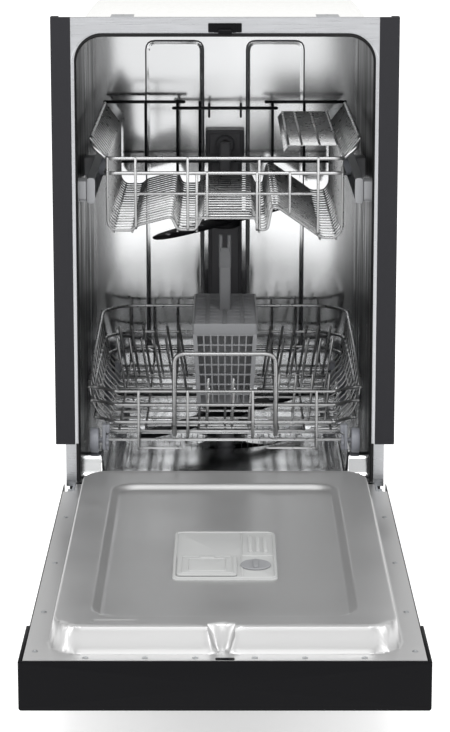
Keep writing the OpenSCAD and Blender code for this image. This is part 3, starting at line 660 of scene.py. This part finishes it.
def spray_arm(name, turn, length, width, low, high, hub, jets):
    """Blade point at t in [-1, 1], v round the section: (L t, w(t) cos v, h sin v) about the middle height,
    with w(t) = W (1 - 0.35 t^2) sqrt(1 - t^8). The whole arm is then turned about z."""
    t, v = np.meshgrid(np.linspace(-1, 1, 61), np.arange(20) * np.pi / 10, indexing="ij")
    half = width / 2 * (1 - 0.35 * t ** 2) * np.sqrt(np.maximum(1 - t ** 8, 0))
    lift = (high - low) / 2 * np.sqrt(np.maximum(1 - t ** 12, 0))
    sharp_v = np.sign(np.sin(v)) * np.abs(np.sin(v)) ** 0.7
    blade = np.stack([length * t, half * np.cos(v), (low + high) / 2 + lift * sharp_v], -1)
    r, base, crown = hub
    boss = [(6.5, base - 1), (r - 3, base - 1), (r, base + 1.5), (r, crown - 4), (r - 6, crown - 1),
            (6.5, crown), (6.5, base - 1)]
    parts = [(blade, False, True), turned(boss, (0, 0, 0))]
    c, s = math.cos(math.radians(turn)), math.sin(math.radians(turn))
    spin = np.array([[c, s, 0], [-s, c, 0], [0, 0, 1]])
    centre = [0, arm_y, 0]
    piece(name + "_blade", [(g @ spin + centre, a, b) for g, a, b in parts], black_abs, name, [name])
    jet = [(0, high - 1.2), (3.4, high - 1.2), (3.4, high + 0.5), (1.9, high + 0.5), (1.5, high - 0.4),
           (0, high - 0.4)]
    rings = [turned(jet, (k * length, width * (0.16 if n % 2 else -0.16), 0), "z", 14)
             for n, k in enumerate((-0.86, -0.62, -0.4, 0.3, 0.52, 0.74, 0.9))]
    piece(name + "_jets", [(g @ spin + centre, a, b) for g, a, b in rings], jets, name)

spray_arm("lower_spray_arm", 47, 179, 43, 220.8, 229.2, (24.6, 215.5, 231.5), wheel_pp)
spray_arm("upper_spray_arm", 56, 174, 39, 506.2, 513.8, (21.6, 501.5, 521.5), dark_pp)
stem = [(0, 184.2), (15.8, 184.2), (15.8, 186), (13, 190), (11.5, 205), (15.5, 209), (15.5, 214),
        (6, 214), (6, 224), (5, 226), (0, 226)]
piece("arm_stem_turned", [turned(stem, (0, arm_y, 0))], dark_pp, "cabinet", ["arm_stem"])

# %% [markdown]
# The duct ends in a housing with a round mouth. The upper rack brings its own pipe, which pushes into that
# mouth when the rack is home and feeds the arm below it.

# %% Duct, dock and feed pipe
parts = [block((-26, 476, 190), (26, 489.9, 564.5), 4, 1.5),
         block((-22, 470.2, 196), (22, 478, 560), 3, 2.5)]
piece("wash_duct_shell", parts, dark_pp, "cabinet", ["wash_duct"])
mouth = [(9.2, 466), (9.2, 452), (12.5, 452), (14.8, 454), (15, 458), (15, 466)]
parts = [block((-29.5, 466, 565), (29.5, 489.9, 606), 4, 1.6),
         block((-25, 464, 569), (25, 468, 602), 3, 1.4), turned(mouth, (0, 0, roller_z), "y", 40)]
parts += [block((x - 3, 463.6, 572), (x + 3, 466, 598), 1.2, 0.5) for x in (-20.5, 20.5)]
piece("duct_dock_shell", parts, dark_pp, "cabinet", ["duct_dock"])
nozzle = [(0, 429), (8.3, 429), (8.3, 449.5), (7.3, 450.8), (6, 450.8), (6, 440), (0, 440)]
pivot = [(0, 500), (5.9, 500), (5.9, 524), (9, 526), (9, 530), (0, 530)]
parts = [turned(nozzle, (0, 0, roller_z), "y"), block((-9, 414.2, 524), (9, 428.4, 594), 3.5, 1.4),
         block((-9, 213.2, 524), (9, 420, 540), 3.5, 1.4, "y"), turned(pivot, (0, arm_y, 0))]
piece("feed_pipe_shell", parts, dark_pp, "upper_rack", ["feed_pipe"])

# %% [markdown]
# The upper rack runs on zinc channels that slide in guides on the walls. Grey caps stop their front ends.

# %% Rails
rail = [(175, 570), (185.4, 570), (185.4, 600), (175, 600), (175, 598), (183.4, 598), (183.4, 572),
        (175, 572)]
channel = sweep(np.array(rail, float), [38, 468])
piece("rail_channels", [(channel * [s, 1, 1], False, True) for s in (1, -1)], zinc, "upper_rails", fill=True)
cap = [block((174, 31, 567), (185.4, 38.2, 602), 4.4, 1.2, "y"),
       block((176.5, 31.2, 571), (183, 33, 598), 2.8, 1.2, "y")]
piece("rail_caps", both_sides(cap, 0, 0, 0), grey_pp, "upper_rails", ["upper_rails"])
guide = []
for y in (30, 240):
    guide.append(block((186, y, 572), (200.9, y + 30, 598), 3, 1, "x"))
    guide.append(block((186.2, y + 3, 569.6), (199, y + 27, 573), 3, 1, "x"))
piece("rail_guide_blocks", both_sides(guide, 0, 0, 0), grey_pp, "cabinet", ["rail_guides"])

# %% [markdown]
# The door: an outer shell painted black, the console moulding at its free end, buttons on the face that
# is upright when the door is shut, the latch, and the detergent dispenser let into the liner.

# %% Door shell and console
half, thick = 218.6, 1.2
skin = [(half, 186.6), (half, 138), (half - 1.2, 135.2), (half - 4, 134)]
lining = [(half - 4, 134 + thick), (half - thick, 138 + thick), (half - thick, 186.6)]
shell = np.array([(-a, b) for a, b in skin] + skin[::-1] + lining[::-1] + [(-a, b) for a, b in lining])
piece("door_shell", [(sweep(shell, [-543, -0.2]), False, True)], enamel, "door", ["door_outer_panel"],
      fill=True)
near, far = -652, -543.4
console = [block((-222, near + 1.6, 134), (222, far, 186.4), 4, 1.6, "x"),
           block((-222, near, 131.9), (222, -649.3, 188), 3, 1.2, "y")]
console += both_sides([block((217.6, near + 1, 180), (222, far, 188), 1.2, 0.6, "y")], 0, 0, 0)[::-1]
piece("console_moulding", console, black_abs, "door", ["control_console"])
for name, x in (("power", -150), ("program", -60), ("option", -20), ("delay", 20), ("start", 60)):
    cap = [(0, 131.5), (5.4, 131.5), (6.9, 131.9), (7.5, 133), (7.5, 137), (0, 137)]
    piece(name + "_button_cap", [turned(cap, (x, -590, 0))], dark_pp, name + "_button", [name + "_button"])
# The flat black plate is painted shade: a thin dark piece laid on the flange where the latch slot's hole lies
# in shadow; the small upright block through it is the latch catch.
hook_and_slot_shade = [block((-10.5, -648.2, 186.6), (10.5, -640.7, 188.25), 2, 0.4),
        block((-4, -646.5, 184), (4, -642.5, 188.9), 1, 0.5)]
piece("latch_hook_and_slot_shade", hook_and_slot_shade, black_abs, "door", ["door_latch"])

# %% [markdown]
# Small domed screws hold the liner to the door, four down each side and six across its free end.

# %% Liner screws
places = [(s * 206, y) for s in (-1, 1) for y in (-150, -330, -500, -622)]
places += [(s * x, -641) for s in (-1, 1) for x in (32, 86, 150)]
head = [(3.4, 187.9), (3.4, 188.3), (2.6, 188.8), (1.5, 188.95), (1.3, 188.4), (0, 188.4)]
screws = [turned(head, (x, y, 0), "z", 14) for x, y in places]
piece("screw_heads", screws, zinc, "door", ["liner_screws"])

# %% [markdown]
# The dispenser holds a detergent cup under a sliding lid, and a rinse-aid tank with a turning cap.

# %% Dispenser
x0, x1, near, far, top = -61, 61, -457, -285, 212.2
body = [block((x0, near, 209.6), (x1, far, top), 7, 0.8)]
rim_path = [(x, y, top) for x, y in outline(x0 + 2.5, near + 2.5, x1 - 2.5, far - 2.5, 7)]
body += [wire(rim_path + rim_path[:1], 3.0, 2, 6)]
body += [wire([(20, near + 5, top), (20, far - 5, top)], 2.4, sides=6),
         wire([(20, -376, top), (x1 - 4, -376, top)], 2.4, sides=6)]
body += [block((28 + 9 * n, -362, top - 0.5), (33 + 9 * n, -302, top + 1.6), 1.6, 0.6) for n in range(3)]
piece("dispenser_housing", body, light_pp, "door", ["dispenser_body"])
lid = [block((-56, -450, 212.5), (14, -380, 215), 5, 1.0)]
for inset in (5, 13):
    ring = [(x, y, 215) for x, y in outline(-56 + inset, -450 + inset, 14 - inset, -380 - inset, 4)]
    lid.append(wire(ring + ring[:1], 1.6, 2, 6))
lid += [block((-30, -392, 214.6), (-12, -384, 216), 2, 0.7)]
piece("detergent_lid_cover", lid, light_pp, "detergent_lid", ["detergent_lid"])
low, high = (c[2] * 1000 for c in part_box("rinse_cap"))
plug = [(0, low), (12.6, low), (12.6, 212.6), (17.4, 212.6), (18, 213.4), (18, high - 2.4),
        (17, high - 1.6), (0, high - 1.6)]
cap = [turned(plug, (36, -410, 0), "z", 40), block((33, -424, high - 1.8), (39, -396, high), 2.6, 0.5)]
piece("rinse_cap_turned", cap, grey_pp, "rinse_cap", ["rinse_cap"])

# %% [markdown]
# The sump: a perforated plate with a cup filter that lifts out after a quarter turn.

# %% Filter
plate = [block((-118, 150, 186.2), (118, 300, 187.2), 10, 0.3),
         block((-118, 390, 186.2), (118, 400, 187.2), 3, 0.3)]
mesh_lines = [wire([(x, 154, 187.2), (x, 296, 187.2)], 0.9, sides=4)
              for x in np.linspace(-112, 112, 29) if abs(x) > 17]
piece("filter_mesh_plate", plate + mesh_lines, tub_steel, "cabinet", ["filter_plate"])
dish = [(0, 188), (30, 188), (42, 187.7), (43, 188.4), (43, 190), (42, 190.5), (34, 190.4), (31, 189.4),
        (0, 189.4)]
collar = [(8, 189), (10, 189), (10, 192), (8, 192), (8, 189)]
cup = [turned(dish, (0, 345, 0), "z", 48), block((-24, 341, 189), (24, 349, 197.6), 3, 1.2),
       turned(collar, (0, 345, 0))]
piece("filter_cup_moulded", cup, dark_pp, "filter_cup")

# %% [markdown]
# The latch catches on a black striker at the middle of the top edge.

# %% Striker
striker = [block((-22, -1.5, 800), (22, 0, 812), 1.5, 0.4, "y"),
           block((-9, -20, 799.6), (9, -1, 804.4), 1.6, 0.6, "y"),
           block((-15, -3, 799.6), (15, -1, 809), 1.5, 0.5, "y")]
piece("striker_plate", striker, black_abs, "cabinet", ["door_striker"])

# %% [markdown]
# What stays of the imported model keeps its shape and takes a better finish: the frame, the fibre wrap
# outside the tub, the base and toe kick, the pumps and valves underneath, brackets and feet.

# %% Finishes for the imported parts
for material, names in ((brushed, "front_frame"), (felt, "insulation_wrap door_insulation"),
                        (enamel, "base_tray toe_kick access_panel"),
                        (zinc, "hinge_brackets hinge_arms counter_brackets kick_screws junction_box"),
                        (dark_pp, "leveling_feet wash_pump drain_pump sump filter_cup"),
                        (grey_pp, "inlet_valve drain_outlet")):
    for name in names.split():
        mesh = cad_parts[name].data
        mesh.materials.clear()
        mesh.materials.append(material)
print("kept from CAD:", [n for n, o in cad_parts.items() if not o.hide_render])

# %% Floor
def floor(material):
    """A pale plane at z = 0 that fills the main view. From a low camera its far edge shows as a horizon."""
    reach = 20
    mesh = bpy.data.meshes.new("studio_floor")
    corners = [(-reach, -reach, 0), (reach, -reach, 0), (reach, reach, 0), (-reach, reach, 0)]
    mesh.from_pydata(corners, [], [(0, 1, 2, 3)])
    mesh.materials.append(material)
    made = bpy.data.objects.new("studio_floor", mesh)
    bpy.context.scene.collection.objects.link(made)

paint = finish("matt_studio_paint", "#ffffff", "#fbfbfb", 0, 0.85, 0.95, 400, 0.0)
glow = paint.node_tree.nodes["Principled BSDF"].inputs
glow["Emission Color"].default_value = (1, 1, 1, 1)
glow["Emission Strength"].default_value = 0.45
floor(paint)
